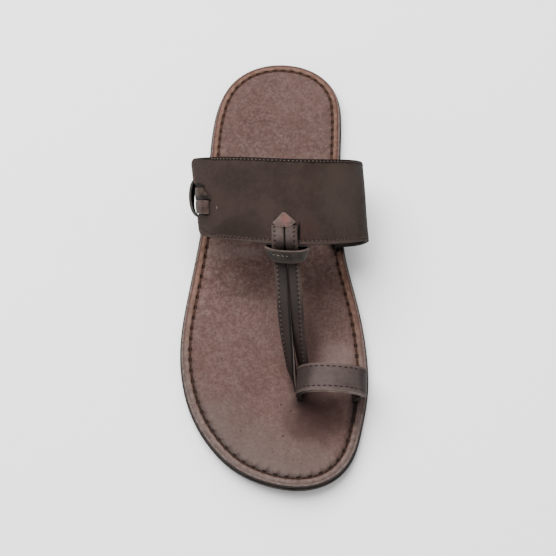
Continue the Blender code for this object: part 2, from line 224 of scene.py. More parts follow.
# a row of places parallel to an edge: how far in, and where it starts and stops before the end
def seamLine(sheet, side, inset, start=0, stop=0):
    grid, normals, reaches = sheet["grid"], sheet["normals"], sheet["acrossMm"]
    if side == "end":
        grid, normals = grid.transpose(1, 0, 2), normals.transpose(1, 0, 2)
        reaches = sheet["alongMm"].T
    points, outs = [], []
    for line, out, reach in zip(grid, normals, reaches):
        at = inset if side == "first" else reach[-1] - inset
        points.append(readAt(at, reach, line))
        outs.append(readAt(at, reach, out))
    points, outs = np.array(points), unit(np.array(outs))
    walked = distances(points)
    return points + outs * sheet["top"], outs, walked, start, walked[-1] + stop


# one stitch is modelled and then copied along the rows
def sewn(name, rows, stitch, thread, node="upper"):
    bpy.ops.mesh.primitive_uv_sphere_add(segments=8, ring_count=6, radius=0.5)
    first = bpy.context.object
    bpy.ops.object.mode_set(mode="EDIT")
    bpy.ops.transform.rotate(value=np.radians(90), orient_axis="Y", center_override=(0, 0, 0))
    bpy.ops.transform.resize(value=(stitch["length"] * mm, stitch["width"] * mm, stitch["height"] * mm))
    bpy.ops.object.mode_set(mode="OBJECT")
    first.data.materials.append(thread)
    half = stitch["length"] / 2
    copies = []
    for points, outs, walked, start, stop, *counted in rows:
        count = max(int(round((stop - start) / stitch["pitch"])), 1)
        middles = start + (np.arange(count) + 0.5) * (stop - start) / count
        if counted:
            middles = np.interp(np.arange(int(round(counted[0][-1]))) + 0.5, counted[0], walked)
        for middle in middles:
            jitter = rng.normal(0, stitch["wander"], 3)
            a, b = readAt(middle - half, walked, points), readAt(middle + half, walked, points)
            run = unit(b - a + jitter * 0.6)
            side = unit(np.cross(readAt(middle, walked, outs), run))
            out = np.cross(run, side)
            at = (a + b) / 2 + side * jitter[0] + out * stitch["lift"]
            at[2] += soleLift(at[1])
            one = first.copy()
            one.data = first.data.copy()
            size = 1 + jitter[1] * 0.3
            one.matrix_world = Matrix.Translation(at * mm) @ Matrix(
                np.column_stack([run * size, side, out]).tolist()).to_4x4()
            bpy.context.collection.objects.link(one)
            copies.append(one)
    bpy.data.objects.remove(first, do_unlink=True)
    piece = joined(name, copies)
    bpy.ops.object.transform_apply()
    bpy.ops.object.shade_smooth()
    belongs(piece, node)


class Nodes:  # shorthand for the nodes of one material
    def __init__(self, name, colour=None):
        self.colour, self.normal = colour, None
        self.material = bpy.data.materials.new(name)
        self.material.use_nodes = True
        self.tree = self.material.node_tree
        self.shader = self.tree.nodes["Principled BSDF"]
        self.where = self.add("TexCoord").outputs["Object"]
        self.x, self.y, self.z = self.add("SeparateXYZ", {"Vector": self.where}).outputs

    def add(self, kind, inputs=None, **values):
        node = self.tree.nodes.new("ShaderNode" + kind)
        for key, value in values.items():
            setattr(node, key, value)
        for key, value in (inputs or {}).items():
            self.put(value, node.inputs[key])
        return node

    def put(self, value, socket):
        if isinstance(value, bpy.types.NodeSocket):
            self.tree.links.new(value, socket)
        else:
            socket.default_value = value

    def kept(self, name):  # a measure kept on the mesh
        return self.add("Attribute", attribute_name=name).outputs["Fac"]

    def noise(self, scale, detail=3, rough=0.5):
        return self.add("TexNoise", {"Vector": self.where, "Scale": scale, "Detail": detail,
                                     "Roughness": rough}).outputs["Fac"]

    def cells(self, scale):
        return self.add("TexVoronoi", {"Vector": self.where, "Scale": scale}).outputs["Distance"]

    def calc(self, kind, a, b=0):
        return self.add("Math", {0: a, 1: b}, operation=kind).outputs[0]

    def vector(self, kind, a, b, out="Value"):
        return self.add("VectorMath", {0: a, 1: b}, operation=kind).outputs[out]

    def plus(self, a, b):
        return self.calc("ADD", a, b)

    def less(self, a, b):
        return self.calc("SUBTRACT", a, b)

    def times(self, a, b):
        return self.calc("MULTIPLY", a, b)

    def beside(self, value, middle):  # how far a value is from a middle
        return self.calc("ABSOLUTE", self.less(value, middle))

    def far(self, a, b):  # length of a sloping line
        return self.calc("SQRT", self.plus(self.calc("POWER", a, 2), self.calc("POWER", b, 2)))

    def uneven(self, scale, size):  # wobbles by half the size either way
        return self.times(self.less(self.noise(scale), 0.5), size)

    def span(self, value, low, high, to0=0, to1=1, kind="SMOOTHSTEP"):
        return self.add("MapRange", {"Value": value, "From Min": low, "From Max": high, "To Min": to0,
                                     "To Max": to1}, interpolation_type=kind).outputs["Result"]

    def cloudy(self, low, high, noise, to0=0, to1=1, kind="SMOOTHSTEP"):  # noise: scale, detail, rough
        return self.span(self.noise(*noise), low, high, to0, to1, kind)

    def fade(self, value, low, high, full=1):  # full up to low, nothing from high on
        return self.span(value, low, high, full, 0)

    def mix(self, share, a, b, kind="MIX"):
        node = self.add("Mix", data_type="RGBA", blend_type=kind)
        self.put(share, node.inputs["Factor"])
        for key, tone in (("A", a), ("B", b)):
            self.put(tone if isinstance(tone, bpy.types.NodeSocket) else (*tone, 1), node.inputs[key])
        return node.outputs["Result"]

    def marble(self, tones, low, high, noise):  # two tones, mixed by a noise
        return self.mix(self.cloudy(low, high, noise), *tones)

    def lay(self, tone, share, strength=1, kind="MIX"):  # a tone laid over the colour so far
        share = share if strength == 1 else self.times(share, strength)
        self.colour = self.mix(share, self.colour, tone, kind)

    def spot(self, x, y, wide, deep, share, ragged=0.8, inside=0.25):  # soft oval seen from above
        away = self.far(*[self.calc("DIVIDE", self.less(place, middle * mm), reach * mm)
                          for place, middle, reach in ((self.x, x, wide), (self.y, y, deep))])
        return self.fade(self.plus(away, self.uneven(130, ragged)), inside, 1.15, share)

    def raised(self, height, distance, strength):  # a relief over the one so far
        inputs = {"Height": height, "Distance": distance, "Strength": strength}
        if self.normal:
            inputs["Normal"] = self.normal
        self.normal = self.add("Bump", inputs).outputs["Normal"]

    def finish(self, roughness, specular):
        self.put(self.colour, self.shader.inputs["Base Color"])
        self.put(roughness, self.shader.inputs["Roughness"])
        if self.normal:
            self.put(self.normal, self.shader.inputs["Normal"])
        self.shader.inputs["Specular IOR Level"].default_value = specular
        return self.material


def shade(colour, factor):
    return tuple(min(c * factor, 1) for c in colour)


def strapLeather(name, look, **changes):
    look = dict(look, **changes)
    n = Nodes(name)
    n.colour = n.marble((look["dark"], look["light"]), 0.32, 0.68, (look["cloudScale"], 4, 0.6))
    n.lay(shade(look["light"], 1.45), n.cloudy(0.3, 0.75, (look["fineScale"], 5, 0.7)), look["fineShare"])
    # patches of another tone, set per piece; on the band and the ring most are painted shade or painted light
    for patch, tone in look.get("patches", ()):
        n.lay(tone, n.spot(*patch))
    worn = n.times(n.fade(n.kept("edgeMm"), 0, look["wornMm"]), n.cloudy(0.3, 0.7, (900,), 0.35, 1))
    n.lay(look["worn"], worn, look["wornShare"])
    if "pale" in look:  # another tone over the first part of the strap: a painted highlight on the toe strips where they bend over the band's edge, painted shade on the band and its lining near the slot
        low, high, share = look["paleMm"]
        rub = n.times(n.fade(n.kept("alongMm"), low, high), n.cloudy(0.25, 0.7, (500, 4, 0.6), 0.5, 1))
        n.lay(look["pale"], rub, share)
    if "dim" in look:  # another tone along one side; on the rear side strip it is painted shade
        low, high, share, tone = look["dim"]
        dim = n.fade(n.plus(n.kept("acrossMm"), n.uneven(300, 2)), low, high, share)
        if "dimTo" in look:
            dim = n.times(dim, n.fade(n.kept("alongMm"), look["dimTo"] - 20, look["dimTo"]))
        n.lay(tone, dim)
    if "painted" in look:  # painted shade: near-black beside the gap between two strips
        n.lay(look["paint"], n.span(n.kept("acrossMm"), *look["painted"]))
    grain = n.plus(n.times(n.cells(look["grainScale"]), 0.6),
                   n.times(n.noise(look["grainScale"] * 1.7, 4, 0.65), 0.7))
    n.raised(n.noise(look["creaseScale"], 5, 0.55), 0.0006, look["crease"])
    n.raised(grain, 0.00012, look["grain"])
    if "holePitch" in look:  # needle holes under the thread, in a row along the strap
        turn = n.calc("FRACT", n.calc("DIVIDE", n.kept("alongMm"), look["holePitch"]))
        run = n.times(n.less(turn, 0.5), look["holePitch"])
        off = n.less(n.kept("acrossMm"), look["holeInset"])
        holes = n.fade(n.far(run, off), look["holeSize"] * 0.4, look["holeSize"])
        n.lay(look["hole"], holes, 0.85)
        n.raised(n.times(holes, -1), 0.0003, 0.8)
    rough = n.cloudy(0.25, 0.75, (120, 4, 0.6), look["rough"] - 0.07, look["rough"] + 0.08, "LINEAR")
    return n.finish(rough, look["specular"])


# raw cut side of doubled leather, with painted shade over its first or last part
def cutEdge(name, dark, light, upper=None, shadedFirstMm=None, shadedLastMm=None):
    n = Nodes(name)
    n.colour = n.marble((dark, light), 0.3, 0.7, (2600, 4, 0.7))
    n.lay(shade(dark, 0.75), n.cloudy(0.35, 0.65, (180,)), 0.5)
    if shadedFirstMm:
        n.lay(upper, n.fade(n.kept("alongMm"), *shadedFirstMm))
    if shadedLastMm:
        n.lay(upper, n.span(n.kept("alongMm"), *shadedLastMm))
    n.raised(n.noise(1800, 5, 0.7), 0.00018, 0.7)
    return n.finish(0.78, 0.25)


def threadMaterial(name, dark, light, toeward=1):
    n = Nodes(name)
    n.colour = n.marble((dark, light), 0.35, 0.65, (3200, 2))
    if toeward < 1:  # darker towards the toes
        n.lay(shade(dark, toeward), n.fade(n.y, -0.08, -0.02))
    n.raised(n.noise(3800, 2), 0.00012, 0.8)
    return n.finish(0.75, 0.12)


strapLook = dict(
    dark=(0.0125, 0.008, 0.0068), light=(0.0195, 0.0118, 0.0097), cloudScale=55,
    fineScale=420, fineShare=0.35, worn=(0.075, 0.046, 0.037), wornMm=0.9,
    wornShare=0.5, grainScale=1500, creaseScale=95, crease=0.35, grain=0.5,
    rough=0.58, specular=0.14,
)
liningLook = dict(strapLook, dark=(0.026, 0.016, 0.013), light=(0.04, 0.026, 0.02), rough=0.68, wornShare=0.2)
plainLining = strapLeather("liningLeather", liningLook)
plainEdge = cutEdge("strapEdge", (0.018, 0.011, 0.009), (0.06, 0.038, 0.032))
paleEdge = cutEdge("paleEdge", (0.028, 0.019, 0.016), (0.078, 0.054, 0.046))
redThread = threadMaterial("redThread", (0.03, 0.0195, 0.0165), (0.062, 0.042, 0.036))
whiteThread = threadMaterial("whiteThread", (0.1, 0.08, 0.07), (0.24, 0.2, 0.18))
print("plain leathers and threads are ready")

# the wide band over the instep
bandSections = [  # rear edge x, y, z and front edge x, y, z, from its slot to its free end
    (29, 69, 5, 33.4, 21, 5), (29.2, 69, 9.6, 33.7, 21, 9.6),
    (37.6, 67.2, 20.5, 43.4, 19.6, 17.8), (45, 63.4, 37, 50.7, 17, 30),
    (38.6, 56.4, 54.5, 43.8, 9.6, 44.6), (22, 49.6, 66.6, 26, 2.8, 53.8),
    (1, 46.8, 71, 3.5, 0.1, 57.2), (-20, 48.4, 67.6, -17, 2, 54.2),
    (-39.6, 53.7, 55.6, -34.6, 7.6, 45), (-53.4, 60.3, 39.6, -45.4, 14.6, 32.2)]
bandLook = dict(
    strapLook, dark=(0.0165, 0.0112, 0.0097), light=(0.0255, 0.0164, 0.0138), rough=0.74, specular=0.07,
    # the pale tone here is near-black: painted shade over the first 34 to 56 mm, near the slot
    worn=(0.052, 0.036, 0.031), wornMm=3.4, wornShare=0.6, pale=(0.008, 0.005, 0.0042),
    paleMm=(34, 56, 0.9), dim=(1.9, 2.7, 0.85, (0.0045, 0.003, 0.0026)),
    holePitch=2.5, holeInset=46.6, holeSize=0.8, hole=(0.004, 0.002, 0.0016),
    patches=[  # x, y, half width, half length, strength, raggedness, even middle, and its tone: painted shade low on the lateral side, painted light on the medial side, a redder patch, and painted shadows beside the inner toe strip and the head
        ((-24, 8, 20, 11, 0.55), (0.0075, 0.0047, 0.004)),
        ((34, 32, 16, 26, 0.4, 0.4), (0.045, 0.034, 0.028)),
        ((16, 8, 8, 10, 0.4), (0.026, 0.0115, 0.01)),
        ((11.5, 4, 1.1, 9.5, 0.97, 0.2, 0.6), (0.0015, 0.001, 0.0009)),
        ((-1.2, 12.5, 2.2, 2.6, 0.8, 0.4), (0.002, 0.0013, 0.0011))])
band = dict(
    rows=190, columns=60, length=161.7, width=48, endWidth=50, freeWidth=46,
    thickness=3, below=0.9, split=0.3, round=0.32,
    leather=strapLeather("bandLeather", bandLook),
    # the lining's pale tone is painted shade over its first 40 to 62 mm, near the slot
    lining=strapLeather("bandLining", liningLook, pale=(0.006, 0.004, 0.0035), paleMm=(40, 62, 0.9)),
    # the cut edge is painted near-black over its first 24 to 38 mm, as shade near the slot
    edge=cutEdge("bandEdge", (0.01, 0.007, 0.006), (0.046, 0.031, 0.026), (0.003, 0.002, 0.0017), (24, 38)),
    cornerRadius=4.5, dipDepth=5.4, dipHalfWidth=0.24, dipAt=0.54, dipBlend=26,
    # along, across, size along in mm, size across in mm, height in mm
    waves=[(0.62, 0.3, 16, 10, 0.14), (0.72, 0.62, 12, 14, -0.15), (0.8, 0.35, 9, 16, 0.15),
           (0.88, 0.6, 8, 12, -0.3), (0.45, 0.5, 18, 15, -0.15), (0.3, 0.35, 12, 12, 0.15),
           (0.22, 0.7, 10, 10, -0.2), (0.55, 0.85, 14, 5, 0.12), (0.93, 0.25, 6, 9, 0.2)],
)
acrossFoot, alongFoot, upward = np.eye(3)


def bandPoint(along, across):
    edges = smoothLine(bandSections, np.ravel(along), measured=6)
    share = np.ravel(across)[:, None]
    return edges[:, :3] * (1 - share) + edges[:, 3:] * share


def overBand(along, across, height):  # a place above the outer face of the band
    step = 0.004
    run = bandPoint(along + step, across)[0] - bandPoint(along - step, across)[0]
    wide = bandPoint(along, across + step)[0] - bandPoint(along, across - step)[0]
    out = unit(np.cross(run, wide))
    return bandPoint(along, across)[0] + out * height * (1 if out[2] > 0 else -1)


def outFromBand(along, across):
    return unit(overBand(along, across, 3) - overBand(along, across, 1.5))


def lyingHeight(thickness):  # middle of a strap that lies on the band
    return (band["thickness"] + thickness) / 2 - pressedIn


def endInset(across):  # round corners, and the dip where the side link pulls
    near = np.minimum(across, 1 - across) * band["endWidth"]
    short = np.clip(band["cornerRadius"] - near, 0, band["cornerRadius"])
    corner = band["cornerRadius"] - np.sqrt(band["cornerRadius"] ** 2 - short**2)
    inside = np.clip(np.abs(across - band["dipAt"]) / band["dipHalfWidth"], 0, 1)
    return max(corner, band["dipDepth"] * (1 - inside**4) ** 2)


along, across = np.linspace(0, 1, band["rows"]), evenPlaces(band["columns"])
walked = along * band["length"]
pulled = np.clip((walked - (band["length"] - band["dipBlend"])) / band["dipBlend"], 0, 1)
bandGrid = np.stack([bandPoint(along - pulled * endInset(place) / band["length"], place)
                     for place in across], axis=1)
lift = swells(band, along, across) * steps(walked, 4, 14)[:, None]
bandOut = sheetNormals(bandGrid, upward)
bandSheet = strapPiece("band", bandGrid + bandOut * lift[:, :, None], bandOut, band)

rearThread = dict(pitch=2.3, length=1.05, width=0.62, height=0.42, lift=0.02, wander=0.06,
                  seams=[("first", 1.25, 8, -17)])
frontThread = dict(pitch=2.5, length=1.4, width=0.5, height=0.34, lift=0, wander=0.05,
                   seams=[("last", 2, 8, -5), ("end", 2.4, 5, -5)])
paleThread = threadMaterial("paleThread", (0.05, 0.033, 0.024), (0.11, 0.077, 0.058))
for name, stitch, thread in (("band_rear_stitches", rearThread, paleThread),
                             ("band_front_stitches", frontThread, redThread)):
    sewn(name, [seamLine(bandSheet, *seam) for seam in stitch["seams"]], stitch, thread)

# the ring for the big toe
ringSections = [  # rear edge x, y, z and front edge x, y, z, from foot to foot
    (16.5, -57.8, 5, 16.5, -75.2, 5), (16.5, -57.8, 9.6, 16.5, -75.2, 9.6),
    (15.8, -59.6, 19.5, 15.6, -76.8, 20), (20.6, -61.4, 29.4, 20.2, -78.4, 30.6),
    (33.5, -62.4, 34.4, 33.5, -79.4, 35.9), (47.2, -61.4, 29.6, 47.2, -78.2, 30.8),
    (52.7, -59.2, 19, 52.7, -76.2, 19.6), (48.7, -57.6, 9.8, 48.7, -74.6, 9.8),
    (48.2, -57.4, 5, 48.2, -74.4, 5)]
toeRing = dict(
    rows=130, columns=24, length=95, width=17, thickness=3.2, split=0.05, round=0.34,
    leather=strapLeather(
        "ringLeather", strapLook, dark=(0.031, 0.023, 0.0215), light=(0.05, 0.0365, 0.0345), rough=0.64,
        specular=0.08, worn=(0.085, 0.06, 0.051), wornMm=2.6, wornShare=0.6, patches=[
            # painted shade on the lateral leg and on the medial leg where it turns down
            ((16, -66, 9, 26, 0.85, 0.3, 0.4), (0.017, 0.0115, 0.01)),
            ((54.5, -66, 5.5, 26, 0.75, 0.3, 0.5), (0.01, 0.0065, 0.0055))]),
    lining=strapLeather("ringLining", liningLook, dark=(0.009, 0.0055, 0.0047), light=(0.017, 0.011, 0.009)),
    # the cut edge is painted darker over its first and its last part, as shade by both feet
    edge=cutEdge("ringEdge", (0.085, 0.064, 0.055), (0.23, 0.175, 0.155), (0.024, 0.017, 0.0145),
                 (18, 38), (60, 73)),
    waves=[(0.4, 0.55, 7, 5, 0.25), (0.52, 0.45, 6, 8, -0.2), (0.62, 0.6, 7, 5, 0.25)],
)
along, across = np.linspace(0, 1, toeRing["rows"]), evenPlaces(toeRing["columns"])
edges, share = smoothLine(ringSections, along, measured=6), across[None, :, None]
ringGrid = edges[:, None, :3] * (1 - share) + edges[:, None, 3:] * share
ringOut = sheetNormals(ringGrid, upward)
ringGrid += ringOut * swells(toeRing, along, across)[:, :, None]
ringSheet = strapPiece("toe_ring", ringGrid, ringOut, toeRing)
ringThread = dict(pitch=3.1, length=2.2, width=0.85, height=0.4, lift=0.03, wander=0.06,
                  seams=[("first", 2, 18, -14), ("last", 2.7, 22, -18)])
sewn("toe_ring_stitches", [seamLine(ringSheet, *seam) for seam in ringThread["seams"]], ringThread,
     threadMaterial("darkThread", (0.01, 0.0032, 0.0026), (0.024, 0.0085, 0.007)))

# the four narrow strips: each lies on the band first and then runs free down to the sole
strip = dict(
    rows=150, columns=11, width=6.85, widthOnBand=6.1, pitchOnBand=7.15, thickness=2.6,
    split=0.05, round=0.34, puff=0.45, sunk=1.1, lining=plainLining, edge=plainEdge,
    toePlaces=[(0.6067, 0.785), (0.6067, 0.88), (0.6055, 0.985)],  # along and across the band
    sideEnd=0.952,
)
toeStripLook = dict(
    strapLook, wornShare=0.15, dark=(0.0085, 0.0056, 0.0048), light=(0.015, 0.0096, 0.008),
    # the pale tone is a painted highlight where the strips bend over the band's front edge; the near-black
    # tone is painted shade beside the gap between them
    pale=(0.09, 0.063, 0.056), paleMm=(3, 12, 0.66), paint=(0.0022, 0.0012, 0.001), dimTo=55,
    holePitch=2.6, holeSize=0.78, hole=(0.004, 0.0012, 0.001))
sideStripLook = dict(
    strapLook, dark=(0.0085, 0.0048, 0.0034), light=(0.04, 0.024, 0.02), worn=(0.095, 0.069, 0.058),
    specular=0.1, cloudScale=330, wornShare=0.8)
marginTone = (0.036, 0.023, 0.0185)
# near-black cut edge, painted shade: the inner toe strip's sides and the lining edges of both toe strips
paintedEdge = cutEdge("paintedEdge", (0.002, 0.0013, 0.0011), (0.006, 0.004, 0.0034))
# the outer toe strip's cut edge, painted near-black over its first 54 to 65 mm as shade in the gap between the
# strips
stripEdge = cutEdge("stripEdge", (0.09, 0.064, 0.057), (0.28, 0.205, 0.185), (0.002, 0.0013, 0.0011), (54, 65))
outerToeLine = [  # x, y, z and turn
    (0.5, -3.2, 52, 0), (1.7, -8.2, 47.2, 0), (4.3, -26, 40, 8), (7, -42, 32.5, 22),
    (10, -55.5, 22.5, 45), (12.6, -63.8, 13.6, 70), (13.9, -66, 9.4, 80), (13.9, -66, 5, 80)]
innerToeLine = [
    (8.6, -3.2, 52, 0), (9.6, -8.2, 47.2, 0), (12, -26, 39.8, 4), (14.2, -42, 31.5, 15),
    (16.6, -53, 22.3, 34), (18.5, -59.6, 14, 62), (19.2, -61.6, 9.4, 80), (19.2, -61.6, 5, 80)]
rearSideLine = [
    (-48.9, 38.2, 38.4, 0), (-48.3, 40.2, 34, 0), (-47.2, 42.3, 26.6, 0),
    (-44.6, 43.4, 16, 0), (-42.2, 43.8, 9.6, 0), (-42.2, 43.8, 5, 0)]
frontSideLine = [
    (-48, 30.6, 37.2, 0), (-47.2, 32.8, 33.4, 0), (-46.2, 34.7, 26.6, 0),
    (-44.6, 35.3, 16, 0), (-42.2, 35.7, 9.6, 0), (-42.2, 35.7, 5, 0)]
toeStrips = [  # name, line, side, edge, leather
    ("outer_toe_strip", outerToeLine, 1, stripEdge, strapLeather(
        # painted shade along its side by the gap
        "outerStripLeather", toeStripLook, holeInset=1.75, painted=(6.1, 6.6),
        dim=(1.3, 2.3, 0.8, marginTone))),
    ("inner_toe_strip", innerToeLine, -1, paintedEdge, strapLeather(
        # painted shade along its side by the gap, and its own painted highlight tone
        "innerStripLeather", toeStripLook, holeInset=4.9, painted=(0.75, 0.3), pale=(0.068, 0.048, 0.043),
        dim=(5.4, 4.4, 0.8, marginTone)))]
sideStrips = [  # name, line, place across the band, width, slant of its end, where it starts, leather
    ("rear_side_strip", rearSideLine, 0.4685, 5.8, 7.6, 0.918, strapLeather(
        "rearSideLeather", sideStripLook, light=(0.033, 0.022, 0.016), wornShare=0.4,
        # the dim tone is painted shade along the strip's lower side
        pale=(0.049, 0.036, 0.026), paleMm=(11, 3, 0.65), dim=(2.6, 4.4, 0.92, (0.0028, 0.0016, 0.0012)))),
    ("front_side_strip", frontSideLine, 0.6305, 7.1, 0, 0.907, strapLeather(
        "frontSideLeather", sideStripLook, pale=(0.052, 0.034, 0.029), paleMm=(10, 2, 0.5)))]


def stripGrid(line, sideways, lying, spread, slant=0, sunk=0):  # middle sheet, domed by its puff
    centre = np.array([row[:3] for row in line], float)
    turn = np.radians([[row[3]] for row in line])
    run = unit(np.gradient(centre, axis=0))
    flat = unit(sideways - run * (run @ sideways)[:, None])
    side = flat * np.cos(turn) + np.cross(run, flat) * np.sin(turn)
    made = []
    for place in evenPlaces(strip["columns"], 0.3) - 0.5:
        points = []
        for i, (u, v) in enumerate(lying):
            cut = slant * place * (1 - i / len(lying))
            height = lyingHeight(strip["thickness"]) - (sunk if i == 0 else 0)
            points.append(overBand(u + spread[0] * place + cut, v + spread[1] * place, height))
        points += list(centre + side * place * strip["width"])
        made.append(smoothLine(points, np.linspace(0, 1, strip["rows"])))
    grid = np.stack(made, axis=1)
    puff = strip["puff"] * (1 - np.linspace(-1, 1, strip["columns"]) ** 2) - 0.1
    out = sheetNormals(grid, upward)
    out *= np.sign(out[4, strip["columns"] // 2, 2])  # up where the strip starts on the band
    return grid + out * puff[None, :, None]


stripSheets = {}
for name, line, side, edge, leather in toeStrips:
    shift = side * strip["pitchOnBand"] / 2 / band["length"]
    lying = [(u + shift, v) for u, v in strip["toePlaces"]]
    grid = stripGrid(line, acrossFoot, lying, (-strip["widthOnBand"] / band["length"], 0))
    stripSheets[name] = strapPiece(name, grid, np.array([0, -0.5, 1]),
                                   dict(strip, leather=leather, edge=edge, liningEdge=paintedEdge))
for name, line, middle, wide, slant, first, leather in sideStrips:
    lying = [(u, middle) for u in (first, (first + strip["sideEnd"]) / 2, strip["sideEnd"])]
    grid = stripGrid(line, alongFoot, lying, (0, -wide / band["freeWidth"]), slant / band["length"],
                     strip["sunk"])
    stripSheets[name] = strapPiece(name, grid, np.array([-1, 0, 0.6]), dict(strip, leather=leather))

# near-black flat pieces on the band: painted shadows beside the side strips' edges
shadowSlits = dict(height=0.5, lift=0, wander=0, above=1.55, places=[
    # name, both ends along and across the band, width in mm
    ("rear_side_slit_shadow", (0.924, 0.372), (0.988, 0.335), 3.2),
    ("front_side_slit_shadow", (0.921, 0.726), (0.962, 0.726), 1.7)])
slitShadow = threadMaterial("slitShadow", (0.002, 0.0015, 0.0012), (0.006, 0.004, 0.0035))
for name, low, high, wide in shadowSlits["places"]:
    places = np.linspace(low, high, 12)
    line = np.array([overBand(*place, shadowSlits["above"]) for place in places])
    outs = np.array([outFromBand(*place) for place in places])
    walked = distances(line)
    sewn(name, [(line, outs, walked, 0, walked[-1])],
         dict(shadowSlits, pitch=walked[-1], length=walked[-1], width=wide), slitShadow)
# a loose stitch beside them
loose = dict(pitch=3.6, length=1.7, width=0.32, height=0.3, lift=0.02, wander=0,
             along=0.866, across=(0.585, 0.665), above=1.6, row=3.7)
line = np.array([overBand(loose["along"], v, loose["above"]) for v in loose["across"]])
outs = np.repeat([outFromBand(loose["along"], sum(loose["across"]) / 2)], 2, axis=0)
sewn("loose_side_stitch", [(line, outs, np.array([0, loose["row"]]), 0, loose["row"])], loose, whiteThread)
stripThread = dict(pitch=2.6, length=1.2, width=0.55, height=0.4, lift=0.04, wander=0.05, skipped=6.5, stop=-6,
                   seams=[("outer_toe_strip", "first", 1.75), ("inner_toe_strip", "last", 2)])
rows, pitch = [], stripThread["pitch"]
for name, side, inset in stripThread["seams"]:  # whole pitches, as the needle holes have
    points, outs, walked, start, stop = seamLine(
        stripSheets[name], side, inset, stripThread["skipped"] * pitch, stripThread["stop"])
    rows.append((points, outs, walked, start, start + round((stop - start) / pitch) * pitch))
sewn("toe_strip_stitches", rows, stripThread,
     threadMaterial("stripThread", (0.034, 0.024, 0.0205), (0.096, 0.073, 0.064), 0.9))

# the pointed end over the two toe strips
head = dict(
    thickness=3, split=0.2, round=0.4, puff=0.35, columns=21, base=(0.6067, 0.805), tip=(0.6086, 0.631),
    outline=[(0, 1.2), (0.5, 3), (1.2, 4.6), (2, 5.8), (2.6, 6.4), (8.2, 0.6)],  # forward, half width
    leather=strapLeather(
        "headLeather", strapLook, dark=(0.035, 0.0215, 0.0185), light=(0.07, 0.041, 0.036), rough=0.52,
        cloudScale=420, worn=(0.074, 0.056, 0.046), wornMm=2.6, wornShare=0.8,
        patches=[((3.7, 13.2, 3.4, 4.6, 0.6, 0.6), (0.12, 0.044, 0.037))]),
    lining=plainLining, edge=paleEdge)
height = lyingHeight(head["thickness"])
tip, foot = overBand(*head["tip"], height), overBand(*head["base"], height)
out = unit(foot - bandPoint(*head["base"])[0])
forward = unit(tip - foot)
side = unit(np.cross(forward, out))
shoulder, point = head["outline"][-2][0], head["outline"][-1][0]
reach = np.unique(np.concatenate([np.linspace(0, shoulder, 8), np.linspace(shoulder, point, 16)]))
halfWidth = np.interp(reach, *zip(*head["outline"]))
grid = np.array([[foot + forward * v + side * w * c + out * head["puff"] * (1 - c * c) * (1 - v / 9)
                  for c in np.linspace(-1, 1, head["columns"])] for v, w in zip(reach, halfWidth)])
strapPiece("toe_strap_head", grid, out, head)

# the two keepers that hold the strips together
keeperSections = dict(  # centre, half width, front and back depth, squareness of front and back
    front_keeper=[((5.1, 1.2, 53.5), 12.8, (0, -6, 5.2), (0, 0, 0.7), 2.3, 2.8),
                  ((5.7, -2.8, 49.5), 9.8, (0, -6.1, 2.6), (0, -1.8, -3.4), 2.7, 2.8)],
    side_keeper=[((-49.2, 37.9, 34.2), 11.3, (-4.4, 2.2, 1.6), (5, 0, -1), 2.1, 3.6),
                 ((-47.9, 39.2, 26.8), 10, (-4, 1.4, 0.6), (4.6, 0, -0.6), 2.6, 3.6)])
keeperLook = dict(strapLook, dark=(0.0115, 0.01, 0.0085), light=(0.03, 0.0235, 0.0205), cloudScale=230)
keeper = dict(
    steps=150, columns=12, thickness=1.5, round=0.3,
    leather=strapLeather("keeperLeather", keeperLook),
    # near-black inside of the loops: painted shade
    inside=strapLeather("keeperInsideShade", keeperLook, dark=(0.0022, 0.0018, 0.0016),
                        light=(0.0045, 0.0036, 0.0031), rough=0.8, specular=0.05, wornShare=0),
    sideEdge=cutEdge("darkEdge", (0.008, 0.007, 0.006), (0.045, 0.04, 0.034)))


def keeperPiece(name, sideways, edge):
    turn = np.linspace(0, 2 * np.pi, keeper["steps"])
    c, s = np.cos(turn)[:, None], np.sin(turn)[:, None]
    rims = []
    for centre, half, front, back, squareFront, squareBack in keeperSections[name]:
        flat = np.where(s > 0, 2 / squareFront, 2 / squareBack)
        deep = np.where(s > 0, np.array(front, float), np.array(back, float)) * np.abs(s) ** flat
        rims.append(np.array(centre) + half * np.sign(c) * np.abs(c) ** flat * sideways + deep)
    share = evenPlaces(keeper["columns"])[None, :, None]
    grid = rims[0][:, None] * (1 - share) + rims[1][:, None] * share
    grid[-1] = grid[0]
    normals = sheetNormals(grid, grid - grid.mean(axis=(0, 1)), loop=True)
    notes = sheetNotes(grid, loop=True)
    piece = laidGrid(name + "_loop", grid, (keeper["leather"], edge, keeper["inside"]), notes)
    weld(piece)
    thickened(piece, keeper["thickness"], keeper["round"], material_offset=2)
    smooth(piece)
    belongs(piece, name)
    return dict(notes, grid=grid, normals=normals, top=keeper["thickness"] / 2)


frontKeeperSheet = keeperPiece("front_keeper", acrossFoot, paleEdge)
keeperPiece("side_keeper", alongFoot, keeper["sideEdge"])
points, outs, walked, *_ = seamLine(frontKeeperSheet, "first", 2.9)
keeperThread = dict(pitch=2.6, length=1.5, width=0.42, height=0.3, lift=0, wander=0.05)
half = walked[-1] / 2
for name, low, high, thread in (("front_keeper_stitches", 0.52, 0.88, whiteThread),
                                ("front_keeper_dull_stitches", 0.2, 0.5, redThread)):
    sewn(name, [(points, outs, walked, half * low, half * high)], keeperThread, thread,
         "front_keeper")
print("straps are sewn")

